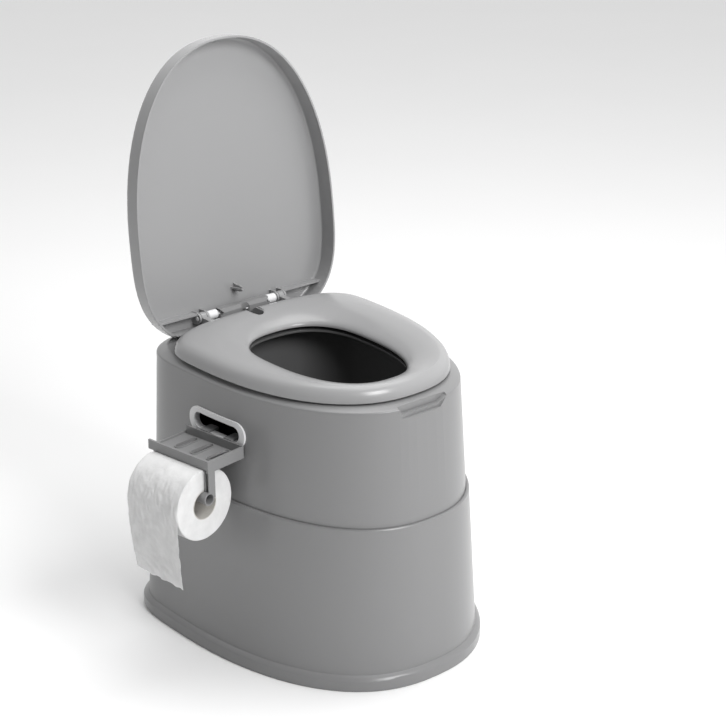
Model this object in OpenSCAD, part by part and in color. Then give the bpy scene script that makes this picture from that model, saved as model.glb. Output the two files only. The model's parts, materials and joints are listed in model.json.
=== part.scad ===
// Portable camp toilet: a two-shell plastic body with a bucket hung in its deck,
// a seat and a lid on one hinge axis at the rear, and a paper holder hooked on one side.
// Millimetres. +Z is up, the front of the toilet faces -Y, the origin is on the floor
// inside the middle of the body. Drawn with the lid open and the seat down.
// The large mouldings are held to their stated heights by resize().

/* [Body] */
// height of the deck that the seat rests over
deck_h = 378; // [374:1:384]
// height of the joint between the lower and the upper shell
seam_h = 222; // [216:1:230]
// width of the body just under the deck shoulder
top_w = 320; // [316:1:326]
// width of the body just above the base bead
foot_w = 375; // [368:1:382]
// wall thickness of both shells
wall_t = 3; // [2.4:0.1:3.4]
// how far the base bead stands out of the wall
bead_out = 6.8; // [5:0.2:9]

/* [Seat and lid] */
// width of the seat ring
seat_w = 312; // [306:1:313]
// width of the hole in the seat ring
hole_w = 158; // [152:1:164]
// width of the lid over its skirt
lid_w = 327; // [326:1:330]
// depth of the lid from its rim to its top
lid_depth = 29.5; // [28.5:0.5:31]
// how far the lid leans open from closed, in degrees
lid_open = 96; // [90:1:96]

/* [Bucket] */
// width of the bucket under its rim
bucket_w = 236; // [226:1:238]
// height of the bucket floor
bucket_floor = 45; // [35:5:90]

/* [Paper holder] */
// diameter of the paper roll
roll_d = 97; // [90:1:97]
// width of the paper roll
roll_w = 90; // [84:1:92]
// turn of the holder about the vertical, to lie along the wall
holder_yaw = 8.5; // [7:0.5:8.5]

/* [Hidden] */

shell_grey = [0.56, 0.56, 0.57];
seat_grey = [0.72, 0.72, 0.73];
bezel_white = [0.9, 0.9, 0.9];
bucket_black = [0.16, 0.16, 0.17];
chrome = [0.8, 0.8, 0.82];
steel = [0.55, 0.55, 0.57];
rubber_dark = [0.12, 0.12, 0.12];
paper_white = [0.95, 0.95, 0.94];
card_brown = [0.72, 0.65, 0.55];

plan_n = 96;            // points round each egg-shaped outline
$fn = 40;

// plan of the body: widest line, then the front and rear lengths from it
wide_y = 75;
front_power = 2.38;
rear_power = 3.6;
top_front = 292;
foot_front = 316;
top_rear = 117;
foot_rear = 124;
seam_grow = 6.5;        // how much wider each side is at the seam than at the shoulder
seam_step = 4;          // the lower shell stands this far out of the upper one at the seam
edge_drop = 9;          // the walls end this far below the deck, under its sloping margin
edge_rise = 4.5;        // the edge climbs this much from the sides to the front
bead_h = 21;
bead_face_h = 15;
socket_h = 11;          // how deep the upper shell stands in the lower one
socket_gap = 0.4;

// openings in the deck for the bucket
bucket_y = 25;
bucket_front = 176;
bucket_rear = 98;
bucket_power = 2.2;
deck_hole_gap = 2;
rim_land = 14;          // how far the bucket rim reaches over the deck ledge
rim_t = 2.8;
ledge_drop = 6.4;       // ledge for the bucket rim below the deck
bucket_t = 2.5;
bail_r = 1.7;
bail_off = 4;           // the bail runs this far outside the bucket wall
bail_x = bucket_w / 2 + bail_off;
bail_y = bucket_y + 6;
bail_z = deck_h - ledge_drop + rim_t + 0.2 + bail_r;
bail_points = 40;
grip_r = 4.6;

// side handle openings
handle_y = 5.5;
handle_z = 314;
handle_w = 107;         // bezel, outside
handle_h = 35;
slot_w = 87;            // clear slot inside the bezel
slot_h = 21;
handle_yaw = 5;
lining_t = 3.5;
bezel_out = 2.5;

// hinge
hinge_y = 163;
hinge_z = deck_h + 18;
hinge_r = 7.5;
pin_r = 3.5;
pin_clear = 0.05;
block_half = 42;
barrel_end = 58.1;      // barrels of the pins fill the gap up to the lid lugs
lug_in = 58.5;
lug_t = 3;
knuckle_in = 62;
knuckle_out = 70.4;
lug_out = 71;
pin_end = 75;

// seat
seat_z = deck_h + 2;
seat_t = 21;
seat_y = 60.6;
seat_front = 256.7;
seat_rear = 91.4;
seat_power = 2.36;
seat_rear_power = 3.2;
hole_y = -4;
hole_front = 141;
hole_rear = 92;
hole_power = 2.5;
bumper_r = 5;
bumper_front_x = 60;
bumper_front_y = -165;
bumper_side_x = 140;
bumper_side_y = 40;

// lid, drawn closed and then turned open
lid_rim_z = deck_h + 3.5;
lid_y = 50;
lid_front = 258;
lid_rear = 147.6;       // the outline runs on past the straight cut at the rear
lid_end = hinge_y + 16;
lid_power = 2.24;
lid_rear_power = 3.17;
lid_t = 2.8;
lid_root = lid_rim_z + lid_depth - lid_t + 0.5;   // what stands inside the lid starts here
heel_r = 17.4;          // the skirt is cut back to this radius about the hinge
rear_gap_half = 76;     // the rear skirt is open between the outer lugs
rib_end = 139;

// recess shared by the block and the seat, with the sprung plunger in it
recess_y = 137;
recess_half_l = 20;
recess_half_w = 8;
recess_floor = deck_h + 6;
plunger_y = 150.5;
plunger_r = 2.7;
plunger_top = deck_h + 20.5;
plunger_clear = 0.06;
collar_r = 4.6;
collar_t = 2.2;
collar_gap = 0.3;       // between the collar and the roof of its chamber
housing_r = 6.5;
neck_r = 4.2;           // neck of the housing, up through deck and hinge block
chamber_r = 5;
chamber_top = deck_h - wall_t - 0.8;
chamber_floor = deck_h - 29;
spring_turns = 6;
spring_r = 3.9;
spring_wire = 0.5;
spring_bottom = chamber_floor + spring_wire + 0.05;
spring_top = chamber_top - collar_t - collar_gap - spring_wire - 0.05;
prong_y = 137;

// paper holder: its frame sits on the bezel face at the middle of the slot
holder_x = -165.5;
holder_y = 4;
tray_rim_z = 304;
tray_z = 293.5;         // top of the tray floor
tray_t = 2.2;
tray_depth = 61;
tray_half = 53;
rail_t = 3;
flange_drop = 3.3;      // the front flange reaches this far below the tray
tray_slot_l = 36;
tray_slot_w = 10;
tray_slot_pitch = 28.7;
hook_w = 14;
core_r = 20;
core_t = 1;
peg_r = 8.5;
peg_t = 1.8;
roll_x = -62.5;
roll_z = tray_z - tray_t - 0.5 - roll_d / 2;
peg_z = roll_z + core_r - core_t - peg_r - 0.3;
arm_d = 8;              // depth of the arm's channel along the wall
tail_hang = 103;        // the paper's free end hangs this far below the roll's axis

function lerp(a, b, k) = a + (b - a) * k;
function sgn_pow(v, e) = sign(v) * pow(abs(v), e);

// egg-shaped outline: half width, front and rear length from the widest line, and
// how square its front and rear are
function egg(w, lf, lr, nf, nr, yc) = [
    for (i = [0 : plan_n - 1])
        let (a = 360 * i / plan_n, e = 2 / (a < 180 ? nr : nf), l = a < 180 ? lr : lf)
            [w * sgn_pow(cos(a), e), yc + l * sgn_pow(sin(a), e)]
];

function upper_outline(z, off) =
    let (k = (deck_h - edge_drop - z) / (deck_h - edge_drop - seam_h))
        egg(top_w / 2 + seam_grow * k + off, lerp(top_front, top_front + 11.7, k) + off,
            lerp(top_rear, top_rear + 3, k) + off, front_power, rear_power, wide_y);

function lower_outline(z, off) =
    let (k = (seam_h - z) / (seam_h - bead_h))
        egg(lerp(top_w / 2 + seam_grow + seam_step, foot_w / 2, k) + off,
            lerp(top_front + 11.7 + seam_step, foot_front, k) + off,
            lerp(top_rear + 3 + seam_step, foot_rear, k) + off, front_power, rear_power, wide_y);

function bucket_outline(off) =
    egg(bucket_w / 2 + off, bucket_front + off, bucket_rear + off, bucket_power, bucket_power,
        bucket_y);

function seat_outline(off) =
    egg(seat_w / 2 + off, seat_front + off, seat_rear + off, seat_power, seat_rear_power, seat_y);

function hole_outline(off) =
    egg(hole_w / 2 + off, hole_front + off, hole_rear + off, hole_power, hole_power, hole_y);

function lid_outline(off) =
    egg(lid_w / 2 + off, lid_front + off, lid_rear + off, lid_power, lid_rear_power, lid_y);

// how far forward a point of the deck edge is: 0 at the sides and behind, 1 at the front
function forward(p) = pow(max(0, (wide_y - p[1]) / top_front), 2);

// closed solid through a stack of [outline, height, climb towards the front] levels, lowest first
module loft(levels) {
    n = len(levels[0][0]);
    m = len(levels);
    points = [
        for (l = levels)
            for (p = l[0])
                [p[0], p[1], l[1] + (is_undef(l[2]) ? 0 : l[2] * forward(p))]
    ];
    sides = [
        for (k = [0 : m - 2])
            for (i = [0 : n - 1])
                let (j = (i + 1) % n, a = k * n + i, b = k * n + j)
                    for (t = [[a, a + n, b + n], [a, b + n, b]]) t
    ];
    polyhedron(
        points,
        concat([[for (i = [0 : n - 1]) i]], sides, [[for (i = [n - 1 : -1 : 0]) (m - 1) * n + i]])
    );
}

// round bar of radius r along a path of points that climbs slowly or not at all
module bar(path, r, sides) {
    m = len(path);
    function heading(k) =
        let (a = path[max(k - 1, 0)], b = path[min(k + 1, m - 1)], d = [b[0] - a[0], b[1] - a[1]])
            d / norm(d);
    points = [
        for (k = [0 : m - 1])
            let (h = heading(k))
                for (s = [0 : sides - 1])
                    let (c = r * cos(360 * s / sides))
                        [path[k][0] + h[1] * c, path[k][1] - h[0] * c,
                         path[k][2] - r * sin(360 * s / sides)]
    ];
    walls = [
        for (k = [0 : m - 2])
            for (s = [0 : sides - 1])
                let (a = k * sides + s, b = k * sides + (s + 1) % sides)
                    for (t = [[a, a + sides, b + sides], [a, b + sides, b]]) t
    ];
    polyhedron(
        points,
        concat([[for (s = [0 : sides - 1]) s]], walls,
               [[for (s = [sides - 1 : -1 : 0]) (m - 1) * sides + s]])
    );
}

// flat rounded rectangle
module rounded_rect(w, h, r) {
    hull()
        for (x = [-1, 1])
            for (y = [-1, 1])
                translate([x * (w / 2 - r), y * (h / 2 - r)])
                    circle(r);
}

// puts a flat shape on a side wall as a long bar across the wall
module through_side(side, depth) {
    translate([side * 158, handle_y, handle_z])
        rotate([0, 0, -side * handle_yaw])
            rotate([90, 0, 90])
                linear_extrude(depth, center = true)
                    children();
}

module upper_solid(off) {
    loft([
        [upper_outline(seam_h - socket_h, off), seam_h - socket_h],
        [upper_outline(seam_h, off), seam_h],
        [upper_outline(deck_h - edge_drop, off), deck_h - edge_drop, edge_rise],
        [upper_outline(deck_h - edge_drop, off - 0.5), deck_h - 7.8, edge_rise],
        [upper_outline(deck_h - edge_drop, off - 1.6), deck_h - 6.7, edge_rise],
        [upper_outline(deck_h - edge_drop, off - 3.2), deck_h - 5.9, edge_rise - 0.2],
        [upper_outline(deck_h - edge_drop, off - 10.5), deck_h - 1.2, 0.7],
        [upper_outline(deck_h - edge_drop, off - 12), deck_h - 0.3],
        [upper_outline(deck_h - edge_drop, off - 13.5), deck_h]
    ]);
}

module upper_cavity() {
    loft([
        [upper_outline(seam_h - socket_h - 1, -wall_t), seam_h - socket_h - 1],
        [upper_outline(deck_h - 16, -wall_t), deck_h - 16],
        [upper_outline(deck_h - 16, -wall_t - 1), deck_h - 12],
        [upper_outline(deck_h - 16, -wall_t - 11), deck_h - 5],
        [upper_outline(deck_h - 16, -wall_t - 15), deck_h - wall_t]
    ]);
}

// wedge with sloping ends that the front finger notch takes out of the deck edge
module notch_wedge(grow, depth, bottom) {
    translate([0, wide_y - top_front + depth, 0])
        rotate([90, 0, 0])
            linear_extrude(40)
                polygon([
                    [-36 - grow, bottom - grow], [25 + grow, bottom - grow],
                    [38 + grow, deck_h - 4], [41 + grow, deck_h + 1], [-41 - grow, deck_h + 1]
                ]);
}

module upper_shell() {
    color(shell_grey)
        resize([0, 0, deck_h - seam_h + socket_h])
            difference() {
                union() {
                    difference() {
                        upper_solid(0);
                        upper_cavity();
                    }
                    // ledge round the deck opening for the bucket rim
                    loft([
                        [bucket_outline(rim_land + 4), deck_h - ledge_drop - 3.4],
                        [bucket_outline(rim_land + 4), deck_h - 1]
                    ]);
                    // backing of the finger notch
                    intersection() {
                        upper_solid(-0.5);
                        notch_wedge(3, 14, deck_h - 15);
                    }
                }
                loft([
                    [bucket_outline(deck_hole_gap), deck_h - 20],
                    [bucket_outline(deck_hole_gap), deck_h + 1]
                ]);
                loft([
                    [bucket_outline(rim_land + 1), deck_h - ledge_drop],
                    [bucket_outline(rim_land + 1), deck_h + 1]
                ]);
                notch_wedge(0, 10, deck_h - 10.5);
                notch_wedge(0, 4, deck_h - 15);
                for (side = [-1, 1])
                    through_side(side, 60)
                        rounded_rect(slot_w + 2 * lining_t, slot_h + 2 * lining_t, 13.5);
                translate([0, plunger_y, deck_h - 20])
                    cylinder(r = neck_r + 0.4, h = 30);
            }
}

module lower_shell() {
    color(shell_grey)
        resize([0, 0, seam_h])
            difference() {
                loft([
                    [lower_outline(bead_h, bead_out - 1.2), 0],
                    [lower_outline(bead_h, bead_out), 2],
                    [lower_outline(bead_h, bead_out), bead_face_h],
                    [lower_outline(bead_h, bead_out - 1.6), bead_face_h + 2.6],
                    [lower_outline(bead_h, bead_out - 4.4), bead_face_h + 4.8],
                    [lower_outline(bead_h, 0), bead_h],
                    [lower_outline(seam_h - 1.5, 0), seam_h - 1.5],
                    [lower_outline(seam_h, -1.2), seam_h]
                ]);
                loft([
                    [lower_outline(bead_h, bead_out - wall_t), wall_t],
                    [lower_outline(bead_h, bead_out - wall_t), bead_face_h - 2],
                    [lower_outline(bead_h, -wall_t), bead_h - 3],
                    [lower_outline(seam_h - 24, -wall_t), seam_h - 24],
                    [lower_outline(seam_h - socket_h, -8.5), seam_h - socket_h - 5],
                    [lower_outline(seam_h - socket_h, -8.5), seam_h + 1]
                ]);
                loft([
                    [upper_outline(seam_h - socket_h, socket_gap), seam_h - socket_h],
                    [upper_outline(seam_h, socket_gap), seam_h + 1]
                ]);
            }
}

// white ring round a side handle opening, with a lining through the wall
module handle_bezel(side) {
    color(bezel_white)
        resize([0, 0, handle_h])
            difference() {
                union() {
                    intersection() {
                        difference() {
                            upper_solid(bezel_out);
                            upper_solid(0);
                        }
                        through_side(side, 40)
                            rounded_rect(handle_w, handle_h, 17);
                    }
                    intersection() {
                        difference() {
                            upper_solid(bezel_out);
                            upper_solid(-7);
                        }
                        through_side(side, 40)
                            rounded_rect(slot_w + 2 * lining_t, slot_h + 2 * lining_t, 13.5);
                    }
                }
                through_side(side, 60)
                    rounded_rect(slot_w, slot_h, 10);
            }
}

module bucket() {
    color(bucket_black)
        resize([0, 0, deck_h - ledge_drop + rim_t - bucket_floor])
            difference() {
                union() {
                    loft([
                        [bucket_outline(-26), bucket_floor],
                        [bucket_outline(-19), bucket_floor + 3],
                        [bucket_outline(-15), bucket_floor + 10],
                        [bucket_outline(0), deck_h - ledge_drop - 18],
                        [bucket_outline(0), deck_h - ledge_drop + 1]
                    ]);
                    loft([
                        [bucket_outline(rim_land), deck_h - ledge_drop],
                        [bucket_outline(rim_land), deck_h - ledge_drop + rim_t]
                    ]);
                }
                loft([
                    [bucket_outline(-24), bucket_floor + bucket_t],
                    [bucket_outline(-18), bucket_floor + 11],
                    [bucket_outline(-bucket_t), deck_h - ledge_drop - 18],
                    [bucket_outline(-bucket_t), deck_h - ledge_drop - 6],
                    [hole_outline(1), deck_h - ledge_drop]
                ]);
                loft([
                    [hole_outline(1), deck_h - ledge_drop - 1],
                    [hole_outline(1), deck_h]
                ]);
                for (side = [-1, 1])
                    translate([side * bail_x, bail_y, deck_h - ledge_drop - 1])
                        cylinder(r = bail_r + 0.1, h = rim_t + 2);
            }
}

// carrying bail folded forward onto the bucket rim, from one side round the front
bail_path = [
    for (i = [0 : bail_points])
        let (a = 180 + 180 * i / bail_points)
            [bail_x * sgn_pow(cos(a), 2 / bucket_power),
             bail_y + (bucket_front + bail_off) * sgn_pow(sin(a), 2 / bucket_power), bail_z]
];

// wire with its two ends turned down into holes in the bucket rim
module bucket_bail() {
    color(steel)
        union() {
            bar(bail_path, bail_r, 12);
            for (side = [-1, 1])
                translate([side * bail_x, bail_y, deck_h - ledge_drop + 0.3])
                    cylinder(r = bail_r, h = bail_z - deck_h + ledge_drop - 0.3);
        }
}

// flat plastic grip moulded over the middle of the bail
module bail_grip() {
    color(bucket_black)
        resize([0, 0, 4])
            difference() {
                intersection() {
                    bar([for (p = bail_path) if (abs(p[0]) < 36) p], grip_r, 16);
                    translate([0, bucket_y - bucket_front, bail_z + 0.1])
                        cube([64, 40, 4], center = true);
                }
                bar(bail_path, bail_r + 0.02, 12);
            }
}

module hinge_block() {
    color(shell_grey)
        difference() {
            union() {
                translate([-block_half, hinge_y, hinge_z])
                    rotate([90, 0, 90])
                        linear_extrude(2 * block_half)
                            polygon([
                                [-10.2, -18], [-10.2, 2.5], [-7.4, hinge_r], [0, hinge_r],
                                [hinge_r, 0], [hinge_r - 1.2, -18]
                            ]);
                translate([-block_half, hinge_y, hinge_z])
                    rotate([0, 90, 0])
                        cylinder(r = hinge_r, h = 2 * block_half);
            }
            for (side = [-1, 1])
                translate([side * block_half, hinge_y, hinge_z])
                    rotate([0, 90, 0])
                        cylinder(r = pin_r, h = 24, center = true);
            // scooped recess, then the seat of the plunger housing neck
            translate([0, recess_y, recess_floor])
                recess_shape(30);
            translate([0, plunger_y, deck_h - 1])
                cylinder(r = neck_r, h = 20);
            // chamfered ends
            for (side = [-1, 1])
                translate([side * block_half, hinge_y - 12, hinge_z + 4.5])
                    rotate([0, side * 45, 0])
                        cube([5, 40, 12], center = true);
        }
}

// long oval standing on its floor
module recess_shape(h) {
    run = recess_half_l - recess_half_w;
    for (s = [-1, 1])
        translate([0, s * run, 0])
            cylinder(r = recess_half_w, h = h);
    translate([-recess_half_w, -run, 0])
        cube([2 * recess_half_w, 2 * run, h]);
}

// white pin: a fat barrel between block and lug, and a thin shaft through lug and knuckle
module hinge_pin(side) {
    color(bezel_white)
        translate([0, hinge_y, hinge_z])
            rotate([0, side * 90, 0])
                rotate_extrude()
                    polygon([
                        [0, block_half - 12], [pin_r, block_half - 12], [pin_r, block_half],
                        [5.6, block_half], [6.6, block_half + 1.4], [6.6, barrel_end - 1.6],
                        [5.4, barrel_end], [pin_r, barrel_end], [pin_r, pin_end - 1],
                        [pin_r - 1, pin_end], [0, pin_end]
                    ]);
}

module seat_ring() {
    resize([0, 0, seat_t])
        difference() {
            loft([
                [seat_outline(-0.8), seat_z],
                [seat_outline(0), seat_z + 1],
                [seat_outline(-0.7), seat_z + 5],
                [seat_outline(-2.2), seat_z + 9.5],
                [seat_outline(-4.4), seat_z + 13.5],
                [seat_outline(-7.6), seat_z + 17],
                [seat_outline(-12), seat_z + 19.3],
                [seat_outline(-18), seat_z + 20.5],
                [seat_outline(-27), seat_z + seat_t]
            ]);
            loft([
                [hole_outline(0), seat_z - 1],
                [hole_outline(0), seat_z + 2],
                [hole_outline(1), seat_z + 4],
                [hole_outline(3.4), seat_z + 6.6],
                [hole_outline(8), seat_z + 9.4],
                [hole_outline(15), seat_z + 12.6],
                [hole_outline(24.5), seat_z + 16.2],
                [hole_outline(33), seat_z + 18.6],
                [hole_outline(43), seat_z + 20.3],
                [hole_outline(54), seat_z + seat_t + 0.2]
            ]);
            // straight rear edge in front of the hinge block
            translate([-72, hinge_y - 11, seat_z - 1])
                cube([144, 40, seat_t + 2]);
            translate([0, recess_y, seat_z - 1])
                recess_shape(seat_t + 2);
            // shallow bevel round the recess
            translate([0, recess_y + 3, seat_z + seat_t - 2])
                scale([1.3, 1.16, 1])
                    recess_shape(4);
        }
}

module seat() {
    color(seat_grey)
        difference() {
            union() {
                seat_ring();
                for (side = [-1, 1])
                    translate([side * (knuckle_in + knuckle_out) / 2, hinge_y, hinge_z])
                        rotate([90, 0, 90])
                            linear_extrude(knuckle_out - knuckle_in, center = true)
                                union() {
                                    circle(7.2);
                                    translate([-24, -6])
                                        square([24, 8]);
                                }
            }
            for (side = [-1, 1])
                translate([side * (knuckle_in + knuckle_out) / 2, hinge_y, hinge_z])
                    rotate([0, 90, 0])
                        cylinder(r = pin_r + pin_clear, h = 20, center = true);
        }
}

module seat_bumper(x, y) {
    color(rubber_dark)
        translate([x, y, deck_h + 0.4])
            cylinder(r = bumper_r, h = seat_z - deck_h - 0.4);
}

// turns a lid drawn closed to where it stands open
module lid_opened() {
    translate([0, hinge_y, hinge_z])
        rotate([-lid_open, 0, 0])
            translate([0, -hinge_y, -hinge_z])
                children();
}

// everything in front of a straight line across the lid
module ahead_of(y) {
    translate([-200, y - 500, 0])
        cube([400, 500, 900]);
}

module lid_shell() {
    top = lid_rim_z + lid_depth;
    resize([0, 0, lid_depth])
        difference() {
            intersection() {
                loft([
                    [lid_outline(-0.3), lid_rim_z],
                    [lid_outline(0), lid_rim_z + 0.6],
                    [lid_outline(-0.5), top - 8],
                    [lid_outline(-1.4), top - 4.8],
                    [lid_outline(-3.6), top - 2],
                    [lid_outline(-7.6), top - 0.4],
                    [lid_outline(-13), top]
                ]);
                ahead_of(lid_end);
            }
            intersection() {
                loft([
                    [lid_outline(-lid_t), lid_rim_z - 1],
                    [lid_outline(-lid_t - 0.6), top - 5.6],
                    [lid_outline(-lid_t - 1.6), top - 4],
                    [lid_outline(-lid_t - 4), top - lid_t]
                ]);
                ahead_of(lid_end - lid_t);
            }
            // heels cut round about the hinge
            difference() {
                translate([-200, hinge_y, lid_rim_z - 20])
                    cube([400, 60, hinge_z - lid_rim_z + 20]);
                translate([-201, hinge_y, hinge_z])
                    rotate([0, 90, 0])
                        cylinder(r = heel_r, h = 402, $fn = 72);
            }
            // rear skirt left open over the hinge
            translate([-rear_gap_half, hinge_y - 12, lid_rim_z - 1])
                cube([2 * rear_gap_half, 60, lid_depth - lid_t + 1]);
        }
}

// plus-shaped prong with a flared root and stepped sides, hanging from the closed lid
module lid_prong() {
    translate([0, prong_y, lid_root]) {
        for (turn = [0, 90])
            rotate([0, 0, turn])
                rotate([90, 0, 0])
                    linear_extrude(2.4, center = true)
                        polygon([
                            [-7, 0], [-5.2, -3.5], [-4.4, -9], [-4.2, -15], [-3.4, -15],
                            [-3.4, -18], [-2.6, -18], [-2.6, -21], [2.6, -21], [2.6, -18],
                            [3.4, -18], [3.4, -15], [4.2, -15], [4.4, -9], [5.2, -3.5], [7, 0]
                        ]);
    }
}

module lid_lug(side, inner) {
    translate([side * (inner + lug_t / 2), hinge_y, hinge_z])
        rotate([90, 0, 90])
            linear_extrude(lug_t, center = true)
                difference() {
                    union() {
                        circle(7.2);
                        translate([-8.5, 0])
                            square([17, lid_root - hinge_z]);
                    }
                    circle(pin_r + pin_clear);
                }
}

// cross rib in front of the hinge, from the outer lug to the side skirt
module lid_rib(side) {
    inner = lug_out + lug_t - 0.5;
    translate([side > 0 ? inner : -rib_end, hinge_y - 7.5, hinge_z - 2])
        cube([rib_end - inner, 3, lid_root - hinge_z + 2]);
}

module lid() {
    color(seat_grey)
        lid_opened()
            union() {
                lid_shell();
                lid_prong();
                for (side = [-1, 1]) {
                    lid_lug(side, lug_in);
                    lid_lug(side, lug_out);
                    lid_rib(side);
                }
            }
}

module plunger() {
    color(chrome)
        translate([0, plunger_y, 0])
            rotate_extrude()
                polygon([
                    [0, chamber_floor + 10], [plunger_r, chamber_floor + 10],
                    [plunger_r, chamber_top - collar_t - collar_gap],
                    [collar_r, chamber_top - collar_t - collar_gap],
                    [collar_r, chamber_top - collar_gap], [plunger_r, chamber_top - collar_gap],
                    [plunger_r, plunger_top - 0.8], [plunger_r - 0.8, plunger_top], [0, plunger_top]
                ]);
}

// cup under the deck with a neck up through deck and hinge block
module plunger_housing() {
    color(shell_grey)
        translate([0, plunger_y, 0])
            rotate_extrude()
                polygon([
                    [chamber_r, chamber_floor - 4], [housing_r, chamber_floor - 4],
                    [housing_r, deck_h - wall_t], [neck_r, deck_h - wall_t],
                    [neck_r, recess_floor],
                    [plunger_r + plunger_clear, recess_floor],
                    [plunger_r + plunger_clear, chamber_top], [chamber_r, chamber_top]
                ]);
}

module plunger_housing_cap() {
    color(shell_grey)
        translate([0, plunger_y, chamber_floor - 6])
            union() {
                cylinder(r = housing_r, h = 2);
                cylinder(r = chamber_r, h = 6);
            }
}

module plunger_spring() {
    color(steel)
        translate([0, plunger_y, 0])
            bar([
                for (i = [0 : spring_turns * 16])
                    let (a = 360 * i / 16)
                        [spring_r * cos(a), spring_r * sin(a),
                         lerp(spring_bottom, spring_top, i / (spring_turns * 16))]
            ], spring_wire, 6);
}

// the holder's own frame: -X points out of the wall, Y runs along it
module on_wall() {
    translate([holder_x, holder_y, 0])
        rotate([0, 0, holder_yaw])
            children();
}

// flat bar with round ends, standing on its floor, long way along X
module round_bar(l, w, h) {
    for (s = [-1, 1])
        translate([s * (l - w) / 2, 0, 0])
            cylinder(r = w / 2, h = h);
    translate([-(l - w) / 2, -w / 2, 0])
        cube([l - w, w, h]);
}

// hook that reaches in over the lower edge of the bezel
module hook(y) {
    translate([-1, y - hook_w / 2, tray_rim_z])
        cube([20.5, hook_w, 2.6]);
    translate([17, y - hook_w / 2, tray_rim_z - 3.6])
        cube([2.5, hook_w, 4.6]);
}

// shallow tray with a rail outboard, a deep flange in front and a low one behind
module tray() {
    slots = [-1.1 * tray_slot_pitch, -0.1 * tray_slot_pitch, 0.9 * tray_slot_pitch];
    difference() {
        union() {
            translate([-tray_depth, -tray_half, tray_z - tray_t])
                cube([tray_depth - 0.4, 2 * tray_half, tray_t]);
            translate([-tray_depth - rail_t, -tray_half, tray_z - tray_t])
                cube([rail_t, 2 * tray_half + 2, tray_rim_z - tray_z + tray_t]);
            translate([-tray_depth - rail_t, -tray_half, tray_z - tray_t - flange_drop])
                cube([tray_depth + rail_t - 0.4, rail_t, tray_rim_z - tray_z + tray_t + flange_drop]);
            translate([-tray_depth, tray_half - 2, tray_z - tray_t])
                cube([tray_depth - 0.4, 2, tray_t + 2.5]);
            translate([-2.6, -tray_half, tray_z - tray_t])
                cube([2.2, 2 * tray_half - 3, tray_rim_z - tray_z + tray_t + 1]);
            for (y = slots)
                translate([-24.5, y, tray_z])
                    round_bar(tray_slot_l + 2.6, tray_slot_w + 2.6, 1.3);
        }
        for (y = slots)
            translate([-24.5, y, tray_z - 5])
                round_bar(tray_slot_l, tray_slot_w, 10);
    }
}

// channel from the tray's front corner down to the curl that carries the spindle
module holder_arm() {
    arm_w = 11;
    drop = tray_z - tray_t - flange_drop + 1 - peg_z;
    difference() {
        translate([-tray_depth - rail_t + 1, -tray_half, peg_z])
            cube([arm_w, arm_d, drop]);
        translate([-tray_depth - rail_t, -tray_half + 1.8, peg_z - 1])
            cube([arm_w - 1.2, arm_d - 3.6, drop + 1.2]);
    }
}

// hollow spindle through the roll, with an upturned tip that keeps the roll on
module spindle() {
    length = 2 * tray_half - 2;
    translate([roll_x, -tray_half, peg_z])
        rotate([-90, 0, 0])
            difference() {
                cylinder(r = peg_r, h = length);
                translate([0, 0, -1])
                    cylinder(r = peg_r - peg_t, h = length - 2);
            }
    translate([roll_x - 4, tray_half - 5, peg_z + peg_r - 2])
        cube([8, 3, 5]);
}

module paper_holder() {
    color(shell_grey)
        on_wall()
            union() {
                tray();
                for (y = [-25, 18])
                    hook(y);
                difference() {
                    holder_arm();
                    translate([roll_x, -tray_half - 1, peg_z])
                        rotate([-90, 0, 0])
                            cylinder(r = peg_r - peg_t, h = arm_d + 2);
                }
                spindle();
            }
}

roll_front = -tray_half + arm_d + 1;

module paper_roll() {
    color(paper_white)
        on_wall()
            translate([roll_x, roll_front, roll_z])
                rotate([-90, 0, 0])
                    difference() {
                        cylinder(r = roll_d / 2, h = roll_w);
                        translate([0, 0, -1])
                            cylinder(r = core_r, h = roll_w + 2);
                    }
}

module roll_core() {
    color(card_brown)
        on_wall()
            translate([roll_x, roll_front, roll_z])
                rotate([-90, 0, 0])
                    difference() {
                        cylinder(r = core_r, h = roll_w);
                        translate([0, 0, -1])
                            cylinder(r = core_r - core_t, h = roll_w + 2);
                    }
}

// free end of the paper, hanging from the outboard side of the roll
module paper_tail() {
    color(paper_white)
        on_wall()
            translate([roll_x - roll_d / 2 - 1.3, roll_front, roll_z - tail_hang])
                cube([0.8, roll_w, tail_hang + 6]);
}

lower_shell();
upper_shell();
handle_bezel(-1);  // handle_bezel_left
handle_bezel(1);  // handle_bezel_right
bucket();
bucket_bail();
bail_grip();
hinge_block();
hinge_pin(-1);  // hinge_pin_left
hinge_pin(1);  // hinge_pin_right
seat();
seat_bumper(-bumper_front_x, bumper_front_y);  // seat_bumper_front_left
seat_bumper(bumper_front_x, bumper_front_y);  // seat_bumper_front_right
seat_bumper(-bumper_side_x, bumper_side_y);  // seat_bumper_rear_left
seat_bumper(bumper_side_x, bumper_side_y);  // seat_bumper_rear_right
lid();
plunger();
plunger_housing();
plunger_housing_cap();
plunger_spring();
paper_holder();
paper_roll();
roll_core();
paper_tail();
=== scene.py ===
import json
import math

import bmesh
import bpy
from mathutils import Matrix, Vector, noise


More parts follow.
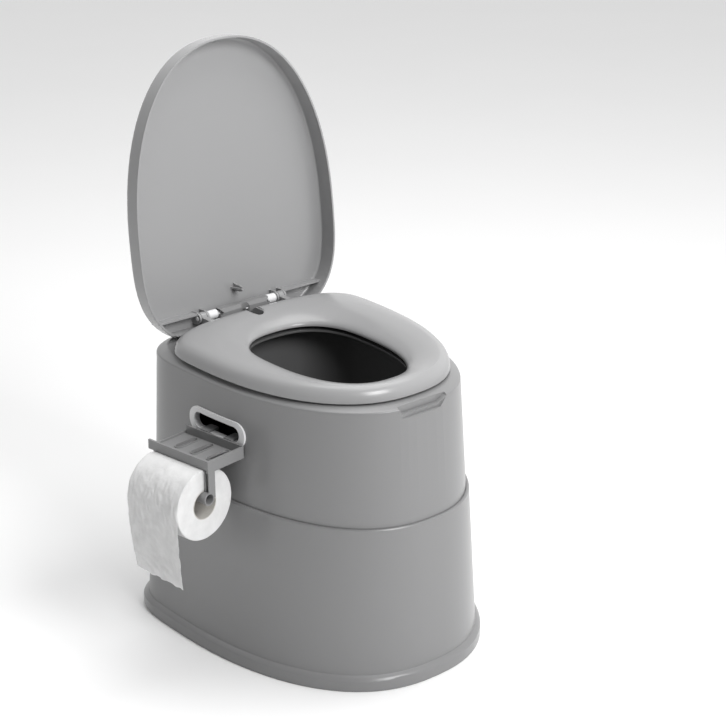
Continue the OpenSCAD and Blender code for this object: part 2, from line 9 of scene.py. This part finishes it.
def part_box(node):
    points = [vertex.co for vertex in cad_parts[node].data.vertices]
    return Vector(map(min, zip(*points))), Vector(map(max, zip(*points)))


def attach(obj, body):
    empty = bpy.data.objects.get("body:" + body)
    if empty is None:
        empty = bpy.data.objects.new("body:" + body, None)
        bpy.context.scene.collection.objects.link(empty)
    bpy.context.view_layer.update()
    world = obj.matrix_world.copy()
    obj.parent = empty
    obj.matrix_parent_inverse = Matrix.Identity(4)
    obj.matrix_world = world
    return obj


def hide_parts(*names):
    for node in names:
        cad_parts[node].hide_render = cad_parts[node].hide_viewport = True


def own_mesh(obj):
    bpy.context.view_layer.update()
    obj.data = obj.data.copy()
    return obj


# Looks of the portable camp toilet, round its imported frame. Lengths are in metres.
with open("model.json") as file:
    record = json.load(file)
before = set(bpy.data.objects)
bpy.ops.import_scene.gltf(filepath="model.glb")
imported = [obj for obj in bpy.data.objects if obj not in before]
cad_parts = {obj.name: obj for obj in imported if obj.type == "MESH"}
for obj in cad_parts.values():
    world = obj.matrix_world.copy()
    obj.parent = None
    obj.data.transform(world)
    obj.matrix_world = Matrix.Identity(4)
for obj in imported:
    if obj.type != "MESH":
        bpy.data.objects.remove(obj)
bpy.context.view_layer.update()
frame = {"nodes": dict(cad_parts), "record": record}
MM = 0.001

joints = {joint["name"]: joint for joint in frame["record"]["behaviour"]["joints"]}


def cad_node_box(name):
    """Lowest and highest corner of a CAD node."""
    low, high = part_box(name)
    return Vector(low), Vector(high)


# ---------------------------------------------------------------- camera

def camera(target, azimuth, elevation, distance, lens):
    """Camera on a sphere round the target, looking at it. Angles are in degrees."""
    round_z = math.radians(azimuth)
    above = math.radians(elevation)
    level = math.cos(above)
    back = Vector((math.sin(round_z) * level, -math.cos(round_z) * level, math.sin(above)))
    data = bpy.data.cameras.new("camera")
    data.sensor_width = 36
    data.lens = lens
    data.clip_start = 0.05
    data.clip_end = 50
    obj = bpy.data.objects.new("camera", data)
    bpy.context.scene.collection.objects.link(obj)
    obj.location = target + back * distance
    obj.rotation_mode = "QUATERNION"
    obj.rotation_quaternion = (-back).to_track_quat("-Z", "Y")
    bpy.context.scene.camera = obj


camera(
    target=Vector((0.0503, -0.0368, 0.3604)),
    azimuth=-40.3,
    elevation=21.9,
    distance=2.577,
    lens=96.5,
)


# ---------------------------------------------------------------- materials

class Nodes:
    """Short way to write a material's node tree."""

    def __init__(self, name):
        self.material = bpy.data.materials.new(name)
        self.material.use_nodes = True
        self.tree = self.material.node_tree
        self.shader = self.tree.nodes["Principled BSDF"]
        self.place = self.add("ShaderNodeTexCoord").outputs["Object"]

    def add(self, kind, inputs=(), **settings):
        """A node with its settings, and its inputs fed by name or number."""
        node = self.tree.nodes.new(kind)
        for key, value in settings.items():
            setattr(node, key, value)
        for key, value in dict(inputs).items():
            self.feed(node.inputs[key], value)
        return node

    def feed(self, socket, value):
        """Links a socket, or sets its value."""
        if isinstance(value, bpy.types.NodeSocket):
            self.tree.links.new(value, socket)
        else:
            socket.default_value = value

    def noise(self, scale, detail=2.0, rough=0.5, stretch=(1, 1, 1)):
        """Noise in the object's own space, from 0 to 1."""
        place = self.add("ShaderNodeMapping", {"Vector": self.place, "Scale": stretch})
        return self.add("ShaderNodeTexNoise", {
            "Vector": place.outputs[0], "Scale": scale, "Detail": detail, "Roughness": rough,
        }).outputs["Fac"]

    def ramp(self, value, low, high, start=0.3, end=0.7):
        """Maps start..end to low..high, and holds the ends."""
        return self.add("ShaderNodeMapRange", {
            "Value": value, "From Min": start, "From Max": end, "To Min": low, "To Max": high,
        }).outputs["Result"]

    def tint(self, value, dark, light):
        """Colour between dark at 0 and light at 1."""
        mix = self.add("ShaderNodeMix", data_type="RGBA")
        self.feed(mix.inputs["Factor"], value)
        self.feed(mix.inputs["A"], (*dark, 1))
        self.feed(mix.inputs["B"], (*light, 1))
        return mix.outputs["Result"]

    def bump(self, height, depth, strength=1.0, under=None):
        """Normal roughened by a height, on top of another normal if one is given."""
        node = self.add("ShaderNodeBump", {
            "Height": height, "Distance": depth, "Strength": strength,
        })
        if under is not None:
            self.feed(node.inputs["Normal"], under)
        return node.outputs["Normal"]

    def finish(self, **sockets):
        """Feeds the shader's sockets, an underscore in a name standing for a space."""
        for key, value in sockets.items():
            self.feed(self.shader.inputs[key.replace("_", " ")], value)
        return self.material


EDGE_RADIUS = 0.7 * MM      # moulded edges look rounded by this much
PEEL_DEPTH = 0.02 * MM      # fine texture of moulded plastic


def moulded(name, grey, rough):
    """Injection-moulded plastic: faint flow clouds, fine peel, edges that look rounded."""
    n = Nodes(name)
    clouds = n.noise(7, 2, 0.4)
    wear = n.ramp(n.noise(400, 3, 0.6), -0.01, 0.01, 0, 1)
    dark = (grey * 0.995, grey * 0.995, grey * 1.005)
    light = (grey * 1.005, grey * 1.005, grey * 1.015)
    rounded = n.add("ShaderNodeBevel", {"Radius": EDGE_RADIUS}, samples=4).outputs["Normal"]
    return n.finish(
        Base_Color=n.tint(clouds, dark, light),
        Roughness=n.add("ShaderNodeMath", {0: wear, 1: rough}, operation="ADD").outputs[0],
        Normal=n.bump(n.noise(900, 2, 0.5), PEEL_DEPTH, 0.2, rounded),
        Specular_IOR_Level=0.5,
    )


def rubber(name):
    """Dull black rubber with a fine grain."""
    n = Nodes(name)
    grain = n.noise(900, 3, 0.6)
    return n.finish(
        Base_Color=n.tint(n.ramp(n.noise(120), 0, 1), (0.02, 0.02, 0.02), (0.05, 0.05, 0.05)),
        Roughness=n.ramp(grain, 0.65, 0.85),
        Normal=n.bump(grain, 0.1 * MM),
    )


def metal(name, tone, smooth, rough, scale, stretch):
    """Bright metal with drawing marks along its length."""
    n = Nodes(name)
    marks = n.noise(scale, 4, 0.6, stretch)
    return n.finish(
        Base_Color=n.tint(marks, (tone * 0.9, tone * 0.9, tone * 0.91), (tone, tone, tone)),
        Metallic=1.0,
        Roughness=n.ramp(marks, smooth, rough),
        Normal=n.bump(marks, 0.02 * MM, 0.4),
    )


def tissue(name):
    """Soft paper with a small emboss and faint crepe lines."""
    n = Nodes(name)
    crepe = n.noise(700, 4, 0.7, (1, 0.25, 1))
    cells = n.add("ShaderNodeTexVoronoi", {"Vector": n.place, "Scale": 230.0}).outputs["Distance"]
    emboss = n.bump(n.ramp(cells, 0, 1, 0.1, 0.6), 0.2 * MM, 0.55)
    return n.finish(
        Base_Color=n.tint(n.ramp(n.noise(60, 4), 0, 1), (0.68, 0.68, 0.68), (0.76, 0.76, 0.76)),
        Roughness=n.ramp(crepe, 0.85, 0.97),
        Normal=n.bump(crepe, 0.12 * MM, 0.5, emboss),
        Specular_IOR_Level=0.25,
    )


def card(name):
    """Grey-brown card with visible fibres."""
    n = Nodes(name)
    fibre = n.noise(260, 6, 0.7)
    return n.finish(
        Base_Color=n.tint(fibre, (0.52, 0.5, 0.47), (0.68, 0.66, 0.62)),
        Roughness=n.ramp(fibre, 0.8, 0.95),
        Normal=n.bump(fibre, 0.1 * MM),
    )


# material of each of the record's slots
FINISH = {
    "shell_plastic": moulded("shell_plastic", 0.225, 0.28),
    "seat_plastic": moulded("seat_plastic", 0.32, 0.24),
    "holder_plastic": moulded("holder_plastic", 0.24, 0.36),
    "bezel_plastic": moulded("bezel_plastic", 0.8, 0.25),
    "bucket_plastic": moulded("bucket_plastic", 0.12, 0.2),
    "bumper_rubber": rubber("bumper_rubber"),
    "plunger_chrome": metal("plunger_chrome", 0.85, 0.06, 0.16, 160, (1, 1, 0.1)),
    "wire_steel": metal("wire_steel", 0.55, 0.28, 0.42, 300, (1, 0.2, 1)),
    "tissue": tissue("tissue"),
    "core_card": card("core_card"),
}


# ---------------------------------------------------------------- CAD nodes

MERGE_DISTANCE = 0.005 * MM
SHARP_ANGLE = 32            # degrees between faces above which an edge stays crisp


def smoothing():
    """Geometry nodes that join a mesh's points and round its shading at all but sharp edges."""
    tree = bpy.data.node_groups.new("smoothing", "GeometryNodeTree")
    tree.interface.new_socket("Geometry", in_out="INPUT", socket_type="NodeSocketGeometry")
    tree.interface.new_socket("Geometry", in_out="OUTPUT", socket_type="NodeSocketGeometry")
    make = tree.nodes.new
    link = tree.links.new
    drop = make("GeometryNodeRemoveAttribute")
    drop.inputs["Name"].default_value = "custom_normal"
    merge = make("GeometryNodeMergeByDistance")
    merge.inputs["Distance"].default_value = MERGE_DISTANCE
    faces = make("GeometryNodeSetShadeSmooth")
    faces.domain = "FACE"
    joined = make("GeometryNodeSetShadeSmooth")
    joined.domain = "EDGE"
    sharp = make("GeometryNodeSetShadeSmooth")
    sharp.domain = "EDGE"
    sharp.inputs["Shade Smooth"].default_value = False
    angle = make("GeometryNodeInputMeshEdgeAngle")
    over = make("FunctionNodeCompare")
    over.operation = "GREATER_THAN"
    over.inputs["B"].default_value = math.radians(SHARP_ANGLE)
    link(angle.outputs["Unsigned Angle"], over.inputs["A"])
    link(over.outputs["Result"], sharp.inputs["Selection"])
    chain = [make("NodeGroupInput"), drop, merge, faces, joined, sharp, make("NodeGroupOutput")]
    for before, after in zip(chain, chain[1:]):
        link(before.outputs[0], after.inputs[0])
    return tree


def dress_cad_nodes():
    """Gives each CAD node its smooth shading and its slot's material."""
    shading = smoothing()
    slots = {part["node"]: part["material_slot"] for part in frame["record"]["subparts"]}
    for name, obj in frame["nodes"].items():
        obj.modifiers.new("smoothing", "NODES").node_group = shading
        even = obj.modifiers.new("even_normals", "WEIGHTED_NORMAL")
        even.keep_sharp = True
        obj.data.materials.clear()
        obj.data.materials.append(FINISH[slots[name]])


dress_cad_nodes()


# ---------------------------------------------------------------- native pieces

def turned(angle):
    """Unit vector in the XZ plane, at an angle round the Y axis."""
    return Vector((math.cos(angle), 0, math.sin(angle)))


def wrinkle(place, size, depth):
    """Smooth random height at a place."""
    return noise.noise(place / size) * depth


def new_piece(name, bm, material, place):
    """Smooth-shaded object of its own, made from a bmesh and put at a place."""
    bmesh.ops.recalc_face_normals(bm, faces=bm.faces)
    for face in bm.faces:
        face.smooth = True
    mesh = bpy.data.meshes.new(name)
    bm.to_mesh(mesh)
    bm.free()
    mesh.materials.append(material)
    obj = bpy.data.objects.new(name, mesh)
    bpy.context.scene.collection.objects.link(obj)
    obj.matrix_world = place
    bpy.context.view_layer.update()
    return obj


def join_rings(bm, here, after):
    """Closes the strip of faces between two rings of points."""
    for i in range(len(here)):
        following = (i + 1) % len(here)
        bm.faces.new((here[i], here[following], after[following], after[i]))


# ---------------------------------------------------------------- plunger spring

WIRE_R = 0.5 * MM
WIRE_SIDES = 10
COIL_TURNS = 7
TURN_STEPS = 36
END_TURNS = 0.9             # turns that lie flat at each end

spring_low, spring_high = cad_node_box("plunger_spring")
spring_axis = (spring_low + spring_high) / 2
spring_length = spring_high.z - spring_low.z


def coil():
    """Compression spring under the plunger's collar, with flat closed ends."""
    radius = (spring_high.x - spring_low.x) / 2 - WIRE_R
    bottom = spring_low.z + WIRE_R
    climb = spring_length - 2 * WIRE_R
    section = [2 * math.pi * i / WIRE_SIDES for i in range(WIRE_SIDES)]
    bm = bmesh.new()
    loops = []
    for i in range(COIL_TURNS * TURN_STEPS + 1):
        turn = i / TURN_STEPS
        angle = 2 * math.pi * turn
        share = min(1, max(0, (turn - END_TURNS) / (COIL_TURNS - 2 * END_TURNS)))
        out = Vector((math.cos(angle), math.sin(angle), 0))
        at = Vector((spring_axis.x, spring_axis.y, bottom + climb * share)) + out * radius
        loops.append([
            bm.verts.new(at + out * WIRE_R * math.cos(a) + Vector((0, 0, WIRE_R * math.sin(a))))
            for a in section
        ])
    for here, after in zip(loops, loops[1:]):
        join_rings(bm, here, after)
    bm.faces.new(loops[0])
    bm.faces.new(reversed(loops[-1]))
    return new_piece("spring_coil", bm, FINISH["wire_steel"], Matrix.Identity(4))


spring_coil = coil()
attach(spring_coil, "body")
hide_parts("plunger_spring")
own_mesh(spring_coil)


# ---------------------------------------------------------------- paper on its holder

PLY = 0.3 * MM
ROLL_WIDTH = 90 * MM
ROLL_HOLE_R = 20.05 * MM    # just outside the card core
ROLL_CORNER = 1.4 * MM      # radius of the roll's soft corners
ROLL_SEGMENTS = 144
LAYER_DEPTH = 0.12 * MM     # ripple that the layers make on the roll's faces
LAYER_WAVE = 5200           # radians of that ripple per metre of radius
DENT_SIZE = 9 * MM
DENT_DEPTH = 0.22 * MM
DENT_SINK = 0.15 * MM       # how far the uneven outside lies under the roll's radius
FREE_GAP = 0.15 * MM        # between the roll and the free ply
TAIL_HANG = 104 * MM        # from the widest point of the roll down to the torn edge
TAIL_SWING = 9 * MM         # how far the hanging end drifts back towards the wall
TAIL_START = 98             # degrees round the roll where the free ply begins, under the tray
TAIL_ROWS = 150
TAIL_COLUMNS = 80

# the paper is built round the origin with its axis along Y, and on_spindle puts it in place
roll_low, roll_high = cad_node_box("paper_roll")
roll_radius = (roll_high.z - roll_low.z) / 2 - PLY - 0.1 * MM
spin_axis = joints["roll_spin"]["axis"]
holder_turn = Matrix.Rotation(math.atan2(-spin_axis[0], spin_axis[1]), 4, "Z")
on_spindle = Matrix.Translation((roll_low + roll_high) / 2) @ holder_turn

tail_radius = roll_radius + FREE_GAP + PLY / 2
tail_wrap = (math.pi - math.radians(TAIL_START)) * tail_radius
tail_length = tail_wrap + TAIL_HANG


def ring_profile(inner, outer, width, corner):
    """Closed section of the wound roll as (radius, place along the axis) pairs."""
    side_steps = 24
    belly_steps = 40
    half = width / 2
    flat = outer - corner - inner
    side = [inner + flat * i / side_steps for i in range(side_steps + 1)]
    front = [(r, -half + LAYER_DEPTH * math.sin(r * LAYER_WAVE)) for r in side]
    for degrees in range(15, 90, 15):
        a = math.radians(degrees)
        front.append((outer - corner * (1 - math.sin(a)), -half + corner * (1 - math.cos(a))))
    reach = width - 2 * corner
    belly = [(outer, -half + corner + reach * i / belly_steps) for i in range(belly_steps + 1)]
    return front + belly + [(r, -y) for r, y in reversed(front)]


def wound_roll():
    """Roll of tissue: soft corners, slightly uneven winding, open middle."""
    profile = ring_profile(ROLL_HOLE_R, roll_radius, ROLL_WIDTH - 0.6 * MM, ROLL_CORNER)
    bm = bmesh.new()
    rings = []
    for i in range(ROLL_SEGMENTS):
        out = turned(2 * math.pi * i / ROLL_SEGMENTS)
        ring = []
        for r, y in profile:
            at = out * r + Vector((0, y, 0))
            if r > roll_radius * 0.97:
                at += out * (wrinkle(at, DENT_SIZE, DENT_DEPTH) - DENT_SINK)
            ring.append(bm.verts.new(at))
        rings.append(ring)
    for here, after in zip(rings, rings[1:] + rings[:1]):
        join_rings(bm, here, after)
    return new_piece("tissue_roll", bm, FINISH["tissue"], on_spindle)


def tail_point(along, across):
    """Point of the free ply, along its length from under the tray and across its width."""
    y = (across - 0.5) * ROLL_WIDTH
    if along <= tail_wrap:
        out = turned(math.radians(TAIL_START) + along / tail_radius)
        at = out * tail_radius + Vector((0, y, 0))
    else:
        out = Vector((-1, 0, 0))
        down = (along - tail_wrap) / TAIL_HANG
        swing = TAIL_SWING * down * down * (0.65 + 0.75 * across)
        curl = 4 * MM * max(0, down - 0.8) * max(0, 0.4 - across)
        torn = wrinkle(Vector((y, 3.1 * MM, 0)), 12 * MM, 2.2 * MM) * down
        at = Vector((-tail_radius + swing + curl, y, -down * TAIL_HANG + torn))
    loose = min(1, along / (tail_wrap * 0.8))
    crease = wrinkle(Vector((y + 0.12 * along, along * 0.3, 0)), 3.6 * MM, 0.75 * MM)
    crease += wrinkle(Vector((y + 0.3 * along, along, 0)), 11 * MM, 0.9 * MM)
    return at + out * (crease + 0.55 * MM) * loose


def paper_end():
    """Free ply: over the outboard side of the roll, then straight down to a torn edge."""
    bm = bmesh.new()
    grid = []
    for i in range(TAIL_ROWS + 1):
        along = tail_length * i / TAIL_ROWS
        across = [j / TAIL_COLUMNS for j in range(TAIL_COLUMNS + 1)]
        grid.append([bm.verts.new(tail_point(along, share)) for share in across])
    for i in range(TAIL_ROWS):
        for j in range(TAIL_COLUMNS):
            bm.faces.new((grid[i][j], grid[i][j + 1], grid[i + 1][j + 1], grid[i + 1][j]))
    bmesh.ops.recalc_face_normals(bm, faces=bm.faces)
    bmesh.ops.solidify(bm, geom=bm.faces[:] + bm.verts[:] + bm.edges[:], thickness=PLY)
    return new_piece("tissue_end", bm, FINISH["tissue"], on_spindle)


tissue_roll = wound_roll()
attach(tissue_roll, "roll")
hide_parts("paper_roll")

tissue_end = paper_end()
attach(tissue_end, "holder")
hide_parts("paper_tail")


# ---------------------------------------------------------------- stage

FLOOR_HALF = 15             # half the width of the floor
SHADE_FROM = -0.4           # cosine to the shade side where the sky starts to dim
SHADE_TO = 0.75             # and where it is dimmest


def floor():
    """Wide pale floor."""
    mesh = bpy.data.meshes.new("floor")
    bm = bmesh.new()
    bmesh.ops.create_grid(bm, x_segments=8, y_segments=8, size=FLOOR_HALF)
    bm.to_mesh(mesh)
    bm.free()
    obj = bpy.data.objects.new("floor", mesh)
    bpy.context.scene.collection.objects.link(obj)
    n = Nodes("floor_paper")
    mesh.materials.append(n.finish(
        Base_Color=n.tint(n.noise(3, 2), (0.93, 0.93, 0.93), (0.95, 0.95, 0.95)),
        Roughness=0.9,
    ))


def area_light(name, place, aim, width, height, power):
    """Soft rectangular light that looks at a point."""
    data = bpy.data.lights.new(name, "AREA")
    data.shape = "RECTANGLE"
    data.size = width
    data.size_y = height
    data.energy = power
    obj = bpy.data.objects.new(name, data)
    bpy.context.scene.collection.objects.link(obj)
    obj.location = place
    obj.rotation_mode = "QUATERNION"
    obj.rotation_quaternion = (Vector(aim) - Vector(place)).to_track_quat("-Z", "Y")


def sky(bright, dim, shade_side):
    """White surround that falls off towards the shade side, as with a flag beside the set."""
    world = bpy.data.worlds.new("studio")
    world.use_nodes = True
    tree = world.node_tree
    back = tree.nodes["Background"]
    back.inputs["Color"].default_value = (1, 1, 1, 1)
    place = tree.nodes.new("ShaderNodeTexCoord")
    towards = tree.nodes.new("ShaderNodeVectorMath")
    towards.operation = "DOT_PRODUCT"
    towards.inputs[1].default_value = shade_side
    level = tree.nodes.new("ShaderNodeMapRange")
    level.interpolation_type = "SMOOTHSTEP"
    level.inputs["From Min"].default_value = SHADE_FROM
    level.inputs["From Max"].default_value = SHADE_TO
    level.inputs["To Min"].default_value = bright
    level.inputs["To Max"].default_value = dim
    tree.links.new(place.outputs["Generated"], towards.inputs[0])
    tree.links.new(towards.outputs["Value"], level.inputs["Value"])
    tree.links.new(level.outputs["Result"], back.inputs["Strength"])
    bpy.context.scene.world = world


floor()
sky(bright=1.05, dim=0.12, shade_side=(-0.94, -0.34, 0.0))
area_light("key", place=(0.0, -2.2, 2.1), aim=(0, 0, 0.25), width=1.1, height=1.1, power=50)
area_light("top", place=(0.5, 0.1, 2.4), aim=(0, 0, 0.3), width=1.6, height=1.6, power=24)
bpy.context.scene.view_settings.view_transform = "Standard"
